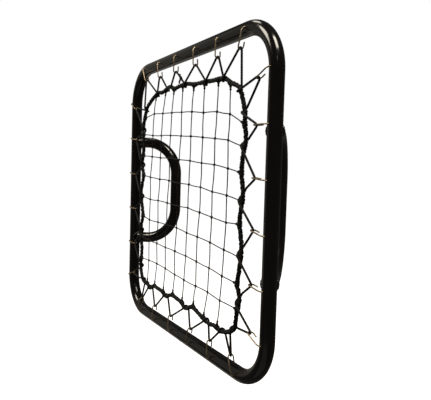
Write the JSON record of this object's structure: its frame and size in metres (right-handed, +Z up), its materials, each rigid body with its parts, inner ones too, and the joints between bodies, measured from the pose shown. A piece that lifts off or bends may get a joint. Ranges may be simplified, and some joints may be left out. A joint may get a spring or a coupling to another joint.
{
  "type": "hand-held ball rebounder",
  "caption": "Rounded square tube frame with a ball net laced across it by elastic cord and wire hooks, and two D-shaped tube handles behind it.",
  "frame": {"origin": "midway between the two grips, where two hands hold it", "axes": "+Z up in use, +X to the right seen from the front; the front, where the ball lands, looks along -Y and the handles are towards +Y"},
  "size_m": [0.6114, 0.1097, 0.6116],
  "materials": {
    "black_powder_coat": "gloss black powder coat",
    "bare_steel": "mill finish, inside the tube",
    "hook_wire": "zinc plated spring wire, slightly yellow",
    "net_twine": "black knotted twine",
    "border_rope": "black twisted rope bound with net twine",
    "bungee_cord": "black braided sleeve over rubber"
  },
  "bodies": {
    "frame": {"frame_tube": "black_powder_coat", "frame_seam_bead": "black_powder_coat", "frame_seam_sleeve": "bare_steel", "left_handle": "black_powder_coat", "right_handle": "black_powder_coat", "left_handle_upper_weld": "black_powder_coat", "left_handle_lower_weld": "black_powder_coat", "right_handle_upper_weld": "black_powder_coat", "right_handle_lower_weld": "black_powder_coat", "hook_top_1": "hook_wire", "hook_top_2": "hook_wire", "hook_top_3": "hook_wire", "hook_top_4": "hook_wire", "hook_top_5": "hook_wire", "hook_top_6": "hook_wire", "hook_right_1": "hook_wire", "hook_right_2": "hook_wire", "hook_right_3": "hook_wire", "hook_right_4": "hook_wire", "hook_right_5": "hook_wire", "hook_right_6": "hook_wire", "hook_bottom_1": "hook_wire", "hook_bottom_2": "hook_wire", "hook_bottom_3": "hook_wire", "hook_bottom_4": "hook_wire", "hook_bottom_5": "hook_wire", "hook_bottom_6": "hook_wire", "hook_left_1": "hook_wire", "hook_left_2": "hook_wire", "hook_left_3": "hook_wire", "hook_left_4": "hook_wire", "hook_left_5": "hook_wire", "hook_left_6": "hook_wire", "bungee_lacing": "bungee_cord", "bungee_knot": "bungee_cord"},
    "net": {"net_mesh": "net_twine", "border_rope": "border_rope"}
  },
  "joints": [
    {"name": "net_deflection", "type": "slide", "parent": "frame", "child": "net", "axis": [0, 1, 0], "range_m": [-0.045, 0.045], "stiffness_N_per_m": 4000, "deforming": ["bungee_lacing", "bungee_knot"]}
  ]
}
